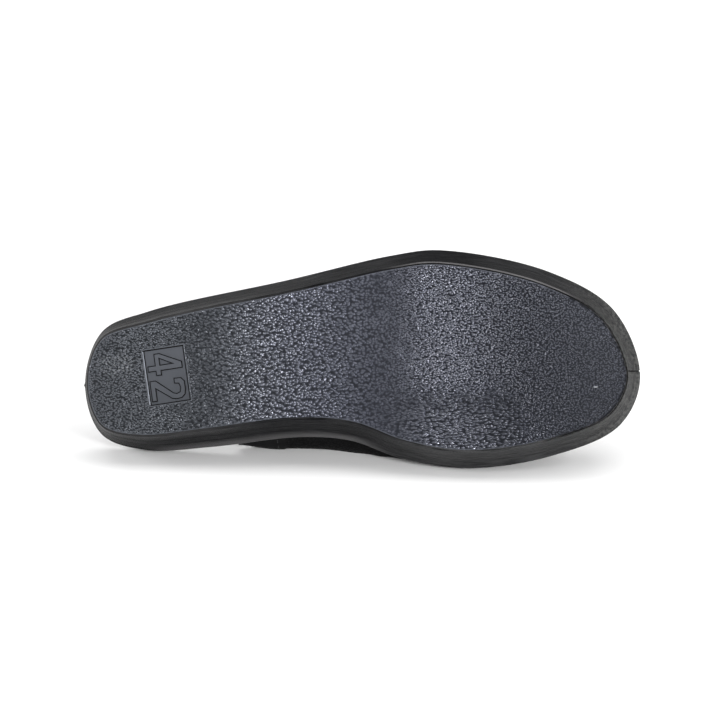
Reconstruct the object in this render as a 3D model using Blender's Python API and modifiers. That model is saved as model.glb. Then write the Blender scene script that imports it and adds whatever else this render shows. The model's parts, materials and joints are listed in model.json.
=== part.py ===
"""Mule slipper for the right foot, size 42, empty and unbent, lying on its inner side.

Three pieces: a moulded outsole with a flared, ribbed wall and a lip round its top, an insole that
lies inside the lip, and a hollow closed-toe upper that stands between the two.

The shoe is drawn upright in millimetres: x runs from the back of the heel to the toe, y towards the
inner side of the foot and z up from the ground. It is then laid on its inner side, on z = 0.
"""

import math
from collections import namedtuple

import bmesh
import bpy
import numpy as np
from mathutils import Matrix, Vector
from mathutils.geometry import intersect_ray_tri

MM = 0.001

# Driving sizes
LENGTH = 285.0
BALL_WIDTH = 111.4
HEEL_HEIGHT = 27.0
BALL_HEIGHT = 19.0
TOE_HEIGHT = 25.0
INSTEP_HEIGHT = 76.0
ARCH_RISE = 4.0
TOE_SPRING = 12.0
WALL = 2.0
BINDING_STEP = 0.5
GAP = 0.3

# Outsole: the lip round its top and the cup inside the lip
LIP_WIDTH = 2.4
CUP_DEPTH = 5.5

# Insole: it fills the cup at the heel and narrows where the upper's foot stands beside it
INSOLE_THICKNESS = 6.0
INSOLE_ROUND = 1.0
HEEL_DISH = 1.5
DISH_FADES = (60.0, 130.0)
INSOLE_NARROWS = (64.0, 75.0)

# Upper: the top line leaves the sole at TOPLINE_X, and a binding band runs along it
TOPLINE_X = 79.0
TOPLINE_SWEEP = 0.8
BINDING_SHARE = 0.1
BINDING_EDGE = 0.006
SLANT_FADES = (0.1, 0.8)
LIP_CLEARANCE = 1.8
KNEE_BULGE = 0.65
KNEE_RISE = 0.4
UPPER_INSET = LIP_WIDTH + GAP + BINDING_STEP + WALL

# Mesh fineness
STATIONS = 44
STATION_CROWDING = 0.4
SPLINE_STEPS = 40
STRIPS_ACROSS = 4
UPPER_STATIONS = 24
TOE_CROWDING = 1.3
CROWN_ROWS = 9
SMOOTH_ANGLE = math.radians(35)

# Balance point of the whole shoe: nearly all of its weight is in the sole
BALANCE_POINT = (143.0, -9.0, 17.0)

# Plan outline at the rim, in shares of the length and of the width at the ball
Outline = namedtuple("Outline", "place along across")
OUTLINE = (
    Outline("heel back", 0.0, -0.018),
    Outline("outer heel corner", 0.032, -0.265),
    Outline("outer heel", 0.120, -0.357),
    Outline("outer waist", 0.375, -0.487),
    Outline("outer joint", 0.560, -0.585),
    Outline("outer ball", 0.650, -0.604),
    Outline("outer toe", 0.845, -0.492),
    Outline("outer toe corner", 0.957, -0.312),
    Outline("toe tip", 1.0, -0.009),
    Outline("inner toe corner", 0.962, 0.209),
    Outline("inner toe", 0.840, 0.344),
    Outline("inner ball", 0.690, 0.394),
    Outline("inner joint", 0.572, 0.343),
    Outline("inner waist front", 0.482, 0.259),
    Outline("inner waist", 0.390, 0.239),
    Outline("inner heel front", 0.230, 0.277),
    Outline("inner heel", 0.110, 0.286),
    Outline("inner heel corner", 0.030, 0.211),
)
TOE_TIP = [row.place for row in OUTLINE].index("toe tip")

# Heights along the shoe: the tread above the ground, level at heel and ball, and the sole's rim
Level = namedtuple("Level", "x tread rim")
LEVELS = (
    Level(0.0, 1.0, HEEL_HEIGHT),
    Level(20.0, 0.0, HEEL_HEIGHT - 0.4),
    Level(75.0, 0.0, HEEL_HEIGHT - 1.6),
    Level(133.0, ARCH_RISE, HEEL_HEIGHT - 4.3),
    Level(178.0, 0.0, BALL_HEIGHT + 0.6),
    Level(215.0, 0.0, BALL_HEIGHT),
    Level(250.0, TOE_SPRING * 0.3, BALL_HEIGHT + 1.8),
    Level(LENGTH, TOE_SPRING, TOE_HEIGHT),
)

# The outsole's side from the tread up: inset from the rim, share of the wall's height, and lift
Side = namedtuple("Side", "place inset share lift")
SIDE = (
    Side("tread field", 8.8, 0.0, 0.0),
    Side("groove inner", 8.6, 0.0, 0.9),
    Side("groove outer", 8.2, 0.0, 0.9),
    Side("tread bead inner", 8.0, 0.0, 0.15),
    Side("tread bead outer", 7.5, 0.0, 0.15),
    Side("wall foot", 7.3, 0.0, 0.7),
    Side("lower rib", 5.4, 0.28, 0.0),
    Side("lower rib step", 5.0, 0.31, 0.0),
    Side("upper rib", 3.5, 0.50, 0.0),
    Side("upper rib step", 3.1, 0.53, 0.0),
    Side("lower bead under", 0.5, 1.0, -6.0),
    Side("lower bead", 0.0, 1.0, -5.4),
    Side("lower bead top", 0.0, 1.0, -4.2),
    Side("rim groove under", 0.9, 1.0, -3.6),
    Side("rim groove top", 0.9, 1.0, -3.0),
    Side("upper bead under", 0.1, 1.0, -2.5),
    Side("upper bead", 0.1, 1.0, -0.8),
    Side("lip outer", 0.8, 1.0, 0.0),
    Side("lip inner", LIP_WIDTH, 1.0, 0.0),
    Side("cup floor", LIP_WIDTH, 1.0, -CUP_DEPTH),
)

# How far the wall flares along each side, from the heel (share 0) to the toe tip (share 1); it scales
# the insets of the side's rows below the rim
Flare = namedtuple("Flare", "share outer inner")
FLARES = (
    Flare(0.0, 0.62, 0.62),
    Flare(0.05, 0.66, 0.64),
    Flare(0.12, 0.86, 0.74),
    Flare(0.20, 0.95, 0.93),
    Flare(0.30, 0.95, 1.05),
    Flare(0.45, 0.95, 1.10),
    Flare(0.60, 0.98, 1.04),
    Flare(0.75, 1.0, 1.0),
    Flare(0.90, 0.98, 0.92),
    Flare(1.0, 0.80, 0.80),
)

# Crest of the upper's lining, from the throat (share 0) to the top of the toe (share 1)
Crest = namedtuple("Crest", "share x y z")
CREST = (
    Crest(0.0, 148.0, -7.0, INSTEP_HEIGHT),
    Crest(0.3, 186.0, -8.0, INSTEP_HEIGHT - 14.0),
    Crest(0.5, 214.0, -8.0, INSTEP_HEIGHT - 21.5),
    Crest(0.7, 240.0, -7.0, INSTEP_HEIGHT - 26.0),
    Crest(0.85, 253.0, -5.5, INSTEP_HEIGHT - 28.5),
    Crest(1.0, 259.0, -4.0, INSTEP_HEIGHT - 29.5),
)

# The upper's sides over their foot: bulge past the foot, the height where the bulge is widest,
# and how slack each side is above that (1 is an ellipse, more leans in sooner)
Flank = namedtuple("Flank", "share outer_bulge inner_bulge rise outer_slack inner_slack")
FLANK = (
    Flank(0.0, 1.0, 3.0, 2.5, 1.05, 1.40),
    Flank(0.1, 1.8, 6.0, 7.0, 1.05, 1.40),
    Flank(0.24, 2.0, 7.0, 9.0, 1.05, 1.40),
    Flank(0.36, 1.8, 1.2, 9.0, 1.05, 1.50),
    Flank(0.45, 1.5, -1.6, 8.0, 1.00, 1.60),
    Flank(0.55, 1.2, -2.4, 7.5, 1.00, 1.55),
    Flank(0.70, 0.8, -1.2, 7.0, 0.95, 1.30),
    Flank(1.0, 0.3, 0.3, 6.0, 0.95, 0.95),
)

Finish = namedtuple("Finish", "colour roughness")
FINISHES = {
    "outsole": Finish((0.030, 0.031, 0.034), 0.45),
    "insole": Finish((0.045, 0.045, 0.048), 0.90),
    "upper": Finish((0.012, 0.012, 0.013), 0.60),
}


def monotone(knots, values):
    """A smooth curve through the points that never overshoots and keeps level stretches level."""
    knots = np.asarray(knots, float)
    values = np.asarray(values, float)
    steps = np.diff(knots)
    slopes = np.diff(values) / steps
    tangents = np.zeros_like(values)
    tangents[0] = slopes[0]
    tangents[-1] = slopes[-1]
    for i in range(1, len(knots) - 1):
        if slopes[i - 1] * slopes[i] > 0.0:
            tangents[i] = 2.0 * slopes[i - 1] * slopes[i] / (slopes[i - 1] + slopes[i])

    def curve(at):
        at = np.clip(at, knots[0], knots[-1])
        i = np.clip(np.searchsorted(knots, at, side="right") - 1, 0, len(steps) - 1)
        t = (at - knots[i]) / steps[i]
        start = (values[i] * (1 + 2 * t) + tangents[i] * steps[i] * t) * (1 - t) ** 2
        end = (values[i + 1] * (3 - 2 * t) + tangents[i + 1] * steps[i] * (t - 1)) * t * t
        return start + end

    return curve


def column(table, name, against):
    """A table's column as a smooth curve against another of its columns."""
    return monotone([getattr(row, against) for row in table], [getattr(row, name) for row in table])


def fade(value, limits):
    """0 below the first limit, 1 above the second, and smooth between them."""
    t = np.clip((value - limits[0]) / (limits[1] - limits[0]), 0.0, 1.0)
    return t * t * (3 - 2 * t)


def between(a, b, low, high, t):
    share = (t - low) / (high - low)
    return a * (1 - share) + b * share


def closed_spline(points):
    """A dense centripetal spline through a closed row of plan points."""
    count = len(points)
    dense = []
    for i in range(count):
        near = [points[(i + k) % count] for k in (-1, 0, 1, 2)]
        knots = [0.0]
        for a, b in zip(near, near[1:]):
            knots.append(knots[-1] + math.sqrt(np.linalg.norm(b - a)))
        for t in np.linspace(knots[1], knots[2], SPLINE_STEPS, endpoint=False):
            first = [between(near[k], near[k + 1], knots[k], knots[k + 1], t) for k in range(3)]
            second = [between(first[k], first[k + 1], knots[k], knots[k + 2], t) for k in range(2)]
            dense.append(between(second[0], second[1], knots[1], knots[2], t))
    return np.array(dense)


class RimSide:
    """One side of the rim, read by the share of its length from the heel (0) to the toe tip (1)."""

    def __init__(self, points, inward):
        lengths = np.linalg.norm(np.diff(points, axis=0), axis=1)
        self.points = points
        self.normals = inward
        self.shares = np.concatenate([[0.0], np.cumsum(lengths)]) / lengths.sum()

    def at(self, share):
        return np.array([np.interp(share, self.shares, line) for line in self.points.T]).T

    def inward(self, share):
        return np.array([np.interp(share, self.shares, line) for line in self.normals.T]).T

    def share_at(self, x):
        return np.interp(x, self.points[:, 0], self.shares)


def rim_sides():
    """The outer and the inner side of the rim."""
    dense = closed_spline([np.array((row.along * LENGTH, row.across * BALL_WIDTH)) for row in OUTLINE])
    tangent = np.roll(dense, -1, axis=0) - np.roll(dense, 1, axis=0)
    tangent /= np.linalg.norm(tangent, axis=1)[:, None]
    inward = np.column_stack([-tangent[:, 1], tangent[:, 0]])
    tip = TOE_TIP * SPLINE_STEPS
    back = np.r_[0, len(dense) - 1:tip - 1:-1]
    return RimSide(dense[:tip + 1], inward[:tip + 1]), RimSide(dense[back], inward[back])


OUTER, INNER = rim_sides()
tread_height = column(LEVELS, "tread", "x")
rim_height = column(LEVELS, "rim", "x")


def cup_height(x):
    return rim_height(x) - CUP_DEPTH


def ring_shares():
    """Stations up the outer side to the toe tip, and those back down the inner side."""
    even = np.linspace(0.0, 1.0, STATIONS + 1)
    crowded = (1 - np.cos(math.pi * even)) / 2
    shares = even * (1 - STATION_CROWDING) + crowded * STATION_CROWDING
    return shares, shares[-2:0:-1]


def plan_ring(inset):
    """Plan points inset from the rim, by one amount or by an amount for each x."""
    going, returning = ring_shares()
    rim = np.vstack([OUTER.at(going), INNER.at(returning)])
    inward = np.vstack([OUTER.inward(going), INNER.inward(returning)])
    amount = inset(rim[:, 0]) if callable(inset) else inset
    return rim + inward * np.reshape(amount, (-1, 1))


def flares():
    """The wall's flare at each station of a ring."""
    going, returning = ring_shares()
    return np.concatenate([column(FLARES, "outer", "share")(going), column(FLARES, "inner", "share")(returning)])


def ring(inset, height):
    plan = plan_ring(inset)
    return np.column_stack([plan, height(plan[:, 0])])


def close_across(mesh, loop, height):
    """Close a loop of vertices with strips across the shoe, at a height for each x and share across."""
    last = len(loop) // 2
    rungs = [[loop[0]]]
    for i in range(1, last):
        rung = [loop[i]]
        for k in range(1, STRIPS_ACROSS):
            share = k / STRIPS_ACROSS
            spot = loop[i].co.lerp(loop[-i].co, share)
            spot.z = height(spot.x / MM, share) * MM
            rung.append(mesh.verts.new(spot))
        rungs.append(rung + [loop[-i]])
    rungs.append([loop[last]])
    for rung, following in zip(rungs, rungs[1:]):
        for k in range(STRIPS_ACROSS):
            corners = [row[min(n, len(row) - 1)] for row, n in
                       ((rung, k), (following, k), (following, k + 1), (rung, k + 1))]
            mesh.faces.new(list(dict.fromkeys(corners)))


def stacked_rings(name, rings, bottom, top):
    """A closed body through rings from the bottom to the top."""
    mesh = bmesh.new()
    rows = [[mesh.verts.new(Vector(point) * MM) for point in points] for points in rings]
    for low, high in zip(rows, rows[1:]):
        for i in range(len(low)):
            mesh.faces.new((low[i - 1], low[i], high[i], high[i - 1]))
    close_across(mesh, rows[0], bottom)
    close_across(mesh, rows[-1], top)
    bmesh.ops.recalc_face_normals(mesh, faces=mesh.faces)
    return add_part(name, mesh)


def finish_material(name):
    material = bpy.data.materials.new(name)
    material.use_nodes = True
    shader = material.node_tree.nodes["Principled BSDF"]
    shader.inputs["Base Color"].default_value = (*FINISHES[name].colour, 1.0)
    shader.inputs["Roughness"].default_value = FINISHES[name].roughness
    shader.inputs["Metallic"].default_value = 0.0
    return material


def add_part(name, mesh):
    data = bpy.data.meshes.new(name)
    mesh.to_mesh(data)
    mesh.free()
    data.materials.append(finish_material(name))
    data.shade_smooth()
    data.set_sharp_from_angle(angle=SMOOTH_ANGLE)
    part = bpy.data.objects.new(name, data)
    shoe.objects.link(part)
    part.parent = rest
    return part


def make_outsole():
    rings = []
    for row in SIDE:
        def height(x, row=row):
            return tread_height(x) + row.share * (rim_height(x) - tread_height(x)) + row.lift
        flare = flares() if row.share < 1.0 else 1.0
        rings.append(ring(row.inset * flare, height))
    return stacked_rings("outsole", rings, lambda x, share: tread_height(x), lambda x, share: cup_height(x))


def insole_inset(x):
    beside_lip = LIP_WIDTH + GAP
    beside_upper = UPPER_INSET + GAP
    return beside_lip + (beside_upper - beside_lip) * fade(x, INSOLE_NARROWS)


def make_insole():
    def bottom(x, share=0.0):
        return cup_height(x) + GAP

    def top(x, share=0.0):
        dish = HEEL_DISH * (1 - fade(x, DISH_FADES))
        return bottom(x) + INSOLE_THICKNESS - dish * 4 * share * (1 - share)

    def shoulder(x):
        return top(x) - INSOLE_ROUND

    def rounded_inset(x):
        return insole_inset(x) + INSOLE_ROUND

    rings = [ring(insole_inset, bottom), ring(insole_inset, shoulder), ring(rounded_inset, top)]
    return stacked_rings("insole", rings, bottom, top)


def upper_section(rim, name, share):
    """Lining points of one section of the upper, from its foot inside the lip up to the crest."""
    start = rim.share_at(TOPLINE_X)
    place = start + (1 - start) * share
    outward = -rim.inward(place)
    foot = rim.at(place) - outward * UPPER_INSET
    bulge = outward * column(FLANK, name + "_bulge", "share")(share)
    rise = column(FLANK, "rise", "share")(share)
    lip = rim_height(foot[0]) + LIP_CLEARANCE
    shoulder = np.array([*(foot + bulge), lip + rise])
    crest = np.array([column(CREST, axis, "share")(share) for axis in "xyz"])
    points = [
        np.array([*foot, cup_height(foot[0]) + GAP]),
        np.array([*foot, lip]),
        np.array([*(foot + bulge * KNEE_BULGE), lip + rise * KNEE_RISE]),
    ]
    slack = column(FLANK, name + "_slack", "share")(share)
    slant = fade(share, SLANT_FADES)
    for k in range(CROWN_ROWS + 1):
        angle = math.pi / 2 * k / CROWN_ROWS
        across = 1 - math.cos(angle)
        up = math.sin(angle) ** slack
        along = (1 - slant) * up ** TOPLINE_SWEEP + slant * across
        points.append(shoulder + (crest - shoulder) * np.array([along, across, up]))
    return points


def make_upper():
    """The vamp: sections round the foot line from the outer side to the inner one, meeting on the crest."""
    even = np.linspace(0.0, 1.0, UPPER_STATIONS + 1)
    plain = BINDING_SHARE + BINDING_EDGE
    beyond = plain + (1 - plain) * (1 - (1 - even) ** TOE_CROWDING)
    shares = [0.0, BINDING_SHARE / 2, BINDING_SHARE, *beyond]
    mesh = bmesh.new()
    weights = mesh.verts.layers.deform.verify()
    crest = []

    def add_section(rim, name, share, top=None):
        points = upper_section(rim, name, share)
        row = [mesh.verts.new(Vector(point) * MM) for point in points[:-1]]
        row.append(top or mesh.verts.new(Vector(points[-1]) * MM))
        for vertex in row:
            vertex[weights][0] = 1.0 if share <= BINDING_SHARE else WALL / (WALL + BINDING_STEP)
        return row

    sections = []
    for share in shares:
        sections.append(add_section(OUTER, "outer", share))
        crest.append(sections[-1][-1])
    for share, top in list(zip(shares, crest))[-2::-1]:
        sections.append(add_section(INNER, "inner", share, top))
    for row, following in zip(sections, sections[1:]):
        for k in range(len(row) - 1):
            corners = (row[k], following[k], following[k + 1], row[k + 1])
            mesh.faces.new(list(dict.fromkeys(corners)))
    upper = add_part("upper", mesh)
    upper.vertex_groups.new(name="wall")
    shell = upper.modifiers.new("wall", "SOLIDIFY")
    shell.thickness = (WALL + BINDING_STEP) * MM
    shell.offset = 1.0
    shell.use_even_offset = True
    shell.vertex_group = "wall"
    return upper


def lay_on_side(outsole, insole, upper):
    """Turn the shoe onto the flat of its hull that meets sole and upper and carries its balance point."""
    bpy.context.view_layer.update()
    graph = bpy.context.evaluated_depsgraph_get()
    hull = bmesh.new()
    owner = hull.verts.layers.int.new("owner")
    points = []
    for index, part in enumerate((outsole, insole, upper)):
        for vertex in part.evaluated_get(graph).data.vertices:
            hull.verts.new(vertex.co)[owner] = index
            points.append(vertex.co.copy())
    bmesh.ops.convex_hull(hull, input=hull.verts)
    balance = Vector(BALANCE_POINT) * MM
    down = Vector((0.0, 0.0, 0.0))
    for face in hull.faces:
        face.normal_update()
        corners = [vertex.co for vertex in face.verts]
        on_sole_and_upper = {vertex[owner] for vertex in face.verts} == {0, 2}
        further_inside = face.normal.y > down.y
        if on_sole_and_upper and further_inside and intersect_ray_tri(*corners, face.normal, balance, True):
            down = face.normal.copy()
    hull.free()
    forward = Vector((1.0, 0.0, 0.0))
    forward = (forward - down * forward.dot(down)).normalized()
    turn = Matrix((forward, forward.cross(down), -down))
    turned = np.array([turn @ point for point in points])
    low = turned.min(axis=0)
    high = turned.max(axis=0)
    place = Vector((-(low[0] + high[0]) / 2, -(low[1] + high[1]) / 2, -low[2]))
    rest.matrix_world = Matrix.Translation(place) @ turn.to_4x4()


for leftover in list(bpy.data.objects):
    bpy.data.objects.remove(leftover, do_unlink=True)
shoe = bpy.data.collections.new("mule_slipper")
bpy.context.scene.collection.children.link(shoe)
rest = bpy.data.objects.new("rest", None)
shoe.objects.link(rest)
lay_on_side(make_outsole(), make_insole(), make_upper())
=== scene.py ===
"""Looks of the mule slipper: grained black sole with a sunk size number, leather vamp, textile footbed.

Sizes are millimetres in the upright shoe: x from the back of the heel to the toe, y towards the inner
side of the foot, z up from the ground. Each piece is built in that frame and then laid down with the shoe.
"""

import json
import math
from collections import namedtuple

import bmesh
import bpy
import numpy as np
from mathutils import Matrix, Vector
from mathutils.kdtree import KDTree


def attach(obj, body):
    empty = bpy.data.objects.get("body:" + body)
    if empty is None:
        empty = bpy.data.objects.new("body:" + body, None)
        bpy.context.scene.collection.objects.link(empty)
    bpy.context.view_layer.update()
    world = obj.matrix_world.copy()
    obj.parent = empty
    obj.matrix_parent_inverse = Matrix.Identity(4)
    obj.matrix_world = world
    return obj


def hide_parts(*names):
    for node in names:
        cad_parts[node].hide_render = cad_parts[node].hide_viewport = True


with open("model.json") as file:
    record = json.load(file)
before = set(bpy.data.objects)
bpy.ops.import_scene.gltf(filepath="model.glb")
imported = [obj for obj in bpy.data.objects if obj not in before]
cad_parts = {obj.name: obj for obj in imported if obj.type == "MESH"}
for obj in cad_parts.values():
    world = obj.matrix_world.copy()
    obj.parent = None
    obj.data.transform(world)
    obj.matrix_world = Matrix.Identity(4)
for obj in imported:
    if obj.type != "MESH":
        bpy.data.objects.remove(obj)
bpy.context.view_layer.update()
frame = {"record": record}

MM = 0.001

# Sizes and tables of the solids
LENGTH = 285.0
BALL_WIDTH = 111.4
HEEL_HEIGHT = 27.0
BALL_HEIGHT = 19.0
TOE_HEIGHT = 25.0
INSTEP_HEIGHT = 76.0
ARCH_RISE = 4.0
TOE_SPRING = 12.0
WALL = 2.0
BINDING_STEP = 0.5
GAP = 0.3
LIP_WIDTH = 2.4
CUP_DEPTH = 5.5
INSOLE_THICKNESS = 6.0
INSOLE_ROUND = 1.0
HEEL_DISH = 1.5
DISH_FADES = (60.0, 130.0)
INSOLE_NARROWS = (64.0, 75.0)
TOPLINE_X = 79.0
TOPLINE_SWEEP = 0.8
BINDING_SHARE = 0.1
BINDING_EDGE = 0.006
SLANT_FADES = (0.1, 0.8)
LIP_CLEARANCE = 1.8
UPPER_INSET = LIP_WIDTH + GAP + BINDING_STEP + WALL

# Where the mounts of the heel and the ball are on the upright shoe
HEEL_SPOT = Vector((48.0, -3.0, 0.0))
BALL_SPOT = Vector((197.0, -12.0, 0.0))

# Plan outline at the rim, in shares of the length and of the width at the ball
Outline = namedtuple("Outline", "place along across")
OUTLINE = (
    Outline("heel back", 0.0, -0.018),
    Outline("outer heel corner", 0.032, -0.265),
    Outline("outer heel", 0.120, -0.357),
    Outline("outer waist", 0.375, -0.487),
    Outline("outer joint", 0.560, -0.585),
    Outline("outer ball", 0.650, -0.604),
    Outline("outer toe", 0.845, -0.492),
    Outline("outer toe corner", 0.957, -0.312),
    Outline("toe tip", 1.0, -0.009),
    Outline("inner toe corner", 0.962, 0.209),
    Outline("inner toe", 0.840, 0.344),
    Outline("inner ball", 0.690, 0.394),
    Outline("inner joint", 0.572, 0.343),
    Outline("inner waist front", 0.482, 0.259),
    Outline("inner waist", 0.390, 0.239),
    Outline("inner heel front", 0.230, 0.277),
    Outline("inner heel", 0.110, 0.286),
    Outline("inner heel corner", 0.030, 0.211),
)
TOE_TIP = [row.place for row in OUTLINE].index("toe tip")
SPLINE_STEPS = 40

# Heights along the shoe: the tread above the ground and the sole's rim
Level = namedtuple("Level", "x tread rim")
LEVELS = (
    Level(0.0, 1.0, HEEL_HEIGHT),
    Level(20.0, 0.0, HEEL_HEIGHT - 0.4),
    Level(75.0, 0.0, HEEL_HEIGHT - 1.6),
    Level(133.0, ARCH_RISE, HEEL_HEIGHT - 4.3),
    Level(178.0, 0.0, BALL_HEIGHT + 0.6),
    Level(215.0, 0.0, BALL_HEIGHT),
    Level(250.0, TOE_SPRING * 0.3, BALL_HEIGHT + 1.8),
    Level(LENGTH, TOE_SPRING, TOE_HEIGHT),
)

# The outsole's side from the tread up: inset from the rim, share of the wall's height, and lift
Side = namedtuple("Side", "place inset share lift")
SIDE = (
    Side("tread field", 8.8, 0.0, 0.0),
    Side("groove inner", 8.6, 0.0, 0.9),
    Side("groove outer", 8.2, 0.0, 0.9),
    Side("tread bead inner", 8.0, 0.0, 0.15),
    Side("tread bead outer", 7.5, 0.0, 0.15),
    Side("wall foot", 7.3, 0.0, 0.7),
    Side("lower rib", 5.4, 0.28, 0.0),
    Side("lower rib step", 5.0, 0.31, 0.0),
    Side("upper rib", 3.5, 0.50, 0.0),
    Side("upper rib step", 3.1, 0.53, 0.0),
    Side("lower bead under", 0.5, 1.0, -6.0),
    Side("lower bead", 0.0, 1.0, -5.4),
    Side("lower bead top", 0.0, 1.0, -4.2),
    Side("rim groove under", 0.9, 1.0, -3.6),
    Side("rim groove top", 0.9, 1.0, -3.0),
    Side("upper bead under", 0.1, 1.0, -2.5),
    Side("upper bead", 0.1, 1.0, -0.8),
    Side("lip outer", 0.8, 1.0, 0.0),
    Side("lip inner", LIP_WIDTH, 1.0, 0.0),
    Side("cup floor", LIP_WIDTH, 1.0, -CUP_DEPTH),
)
SIDE_PLACES = [row.place for row in SIDE]

# How far the wall flares along each side, from the heel (share 0) to the toe tip (share 1); it scales
# the insets of the side's rows below the rim
Flare = namedtuple("Flare", "share outer inner")
FLARES = (
    Flare(0.0, 0.62, 0.62),
    Flare(0.05, 0.66, 0.64),
    Flare(0.12, 0.86, 0.74),
    Flare(0.20, 0.95, 0.93),
    Flare(0.30, 0.95, 1.05),
    Flare(0.45, 0.95, 1.10),
    Flare(0.60, 0.98, 1.04),
    Flare(0.75, 1.0, 1.0),
    Flare(0.90, 0.98, 0.92),
    Flare(1.0, 0.80, 0.80),
)

# Crest of the upper's lining, from the throat (share 0) to the top of the toe (share 1)
Crest = namedtuple("Crest", "share x y z")
CREST = (
    Crest(0.0, 148.0, -7.0, INSTEP_HEIGHT),
    Crest(0.3, 186.0, -8.0, INSTEP_HEIGHT - 14.0),
    Crest(0.5, 214.0, -8.0, INSTEP_HEIGHT - 21.5),
    Crest(0.7, 240.0, -7.0, INSTEP_HEIGHT - 26.0),
    Crest(0.85, 253.0, -5.5, INSTEP_HEIGHT - 28.5),
    Crest(1.0, 259.0, -4.0, INSTEP_HEIGHT - 29.5),
)

# The upper's sides over their foot: bulge past the foot, the height where the bulge is widest, and how
# slack each side is above that; the inner side is fuller than the solid's, where the floor presses it flat
Flank = namedtuple("Flank", "share outer_bulge inner_bulge rise outer_slack inner_slack")
FLANK = (
    Flank(0.0, 1.0, 3.0, 2.5, 1.05, 1.40),
    Flank(0.1, 1.8, 8.5, 7.0, 1.05, 1.40),
    Flank(0.24, 2.0, 9.5, 9.0, 1.05, 1.40),
    Flank(0.36, 1.8, 5.5, 9.0, 1.05, 1.50),
    Flank(0.45, 1.5, 1.5, 8.0, 1.00, 1.60),
    Flank(0.55, 1.2, -1.4, 7.5, 1.00, 1.55),
    Flank(0.70, 0.8, -1.2, 7.0, 0.95, 1.30),
    Flank(1.0, 0.3, 0.3, 6.0, 0.95, 0.95),
)

# Fineness of the dressed meshes
STATIONS = 280
STATION_CROWDING = 0.4
TREAD_CELL = 0.68
CUP_CELL = 6.0
FOOTBED_CELL = 1.6
CORNER_REACH = 0.45
CORNER_STEPS = 3
UPPER_STATIONS = 110
BINDING_STATIONS = 14
TOE_CROWDING = 1.3
FOOT_ROWS = 5
KNEE_ROWS = 6
CROWN_ROWS = 44
FOOTBED_EDGE_STEPS = 5
SMOOTH_ANGLE = math.radians(40)
SHORT_OF_HALF = 0.48
FILL_CLEARANCE = 0.6

# Tolerances: a slack in mm, and the distances for cutting and merging in metres
SLACK = 0.01
CUT_DISTANCE = 1e-7
MERGE_DISTANCE = 1e-6

# Marks of the mould: a parting cut at the toe tip, a nib at the heel, and a deeper groove at the toe;
# beside that groove the tread is painted dark, a painted shade of the groove
PARTING_FROM_TIP = 3.2
PARTING_DEPTH = 0.55
PARTING_WIDTH = 0.32
MARK_STATIONS = (-0.75, -0.5, -0.32, -0.16, 0.0, 0.16, 0.32, 0.5, 0.75)
NIB_HEIGHT = 0.6
NIB_WIDTH = 0.8
SIDE_GROOVE = 0.12
TOE_GROOVE = 0.9
TOE_GROOVE_FADES = (226.0, 252.0)
TOE_GROOVE_SHADE = (0.6, 1.7)

# Where the wall is painted lighter: a painted highlight on its bead along the outer front edge and on its
# rim along the inner waist, and painted light on its foot round the heel that softens the groove's shade;
# and where it turns from the outer to the inner side
BEAD_HIGHLIGHT_STARTS = (150.0, 178.0)
BEAD_HIGHLIGHT_FADES = (246.0, 262.0)
RIM_HIGHLIGHT_STARTS = (28.0, 50.0)
RIM_HIGHLIGHT_FADES = (135.0, 165.0)
RIM_HIGHLIGHT_AMOUNT = 0.7
HEEL_FOOT_LIGHT_FADES = (60.0, 100.0)
HEEL_FOOT_LIGHT_AMOUNT = 0.2
WALL_TURNS = (-15.0, 10.0)

# The sunk field with the size number, on the heel, and how upright the normals of the digits' tops are
RECESS_CENTRE = Vector((45.8, -5.2))
RECESS_ALONG = 21.2
RECESS_ACROSS = 28.4
RECESS_TURN = math.radians(-7.5)
RECESS_DEPTH = 0.85
RECESS_FRAME = 0.3
DIGIT_HEIGHT = 0.66
DIGIT_BEVEL = 0.5
LEVEL_FACE = 0.9

# Edges of the sunk field from its outside in: a slope and a drop towards the heel, only a drop elsewhere
Brink = namedtuple("Brink", "place inset depth")
HEEL_BRINK = (
    Brink("edge", 0.0, 0.0),
    Brink("slope starts", 0.08, 0.035),
    Brink("slope ends", 0.42, 0.175),
    Brink("drop starts", 0.5, 0.21),
    Brink("floor", 1.0, RECESS_DEPTH),
)
PLAIN_BRINK = (
    Brink("drop starts", 0.0, 0.0),
    Brink("floor", 0.6, RECESS_DEPTH),
)

# Outlines of the two digits in the sunk field: across from its outer edge and along from its heel edge
FOUR = ((2.4, 5.4), (2.4, 8.4), (8.0, 19.4), (11.5, 19.4), (11.5, 8.4), (13.8, 8.4), (13.8, 5.4),
        (11.5, 5.4), (11.5, 1.5), (8.3, 1.5), (8.3, 5.4))
FOUR_EYE = ((5.4, 8.2), (8.3, 8.2), (8.3, 13.6))
TWO = ((15.9, 1.5), (26.7, 1.5), (26.7, 4.4), (20.5, 4.4), (26.3, 11.8), (26.9, 14.2), (26.6, 17.0),
       (24.9, 18.9), (22.2, 19.5), (18.1, 19.4), (16.1, 17.8), (15.9, 13.9), (18.8, 13.9), (19.2, 16.1),
       (21.2, 16.7), (23.2, 16.2), (23.8, 14.5), (23.2, 13.0), (15.9, 4.7))

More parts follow.
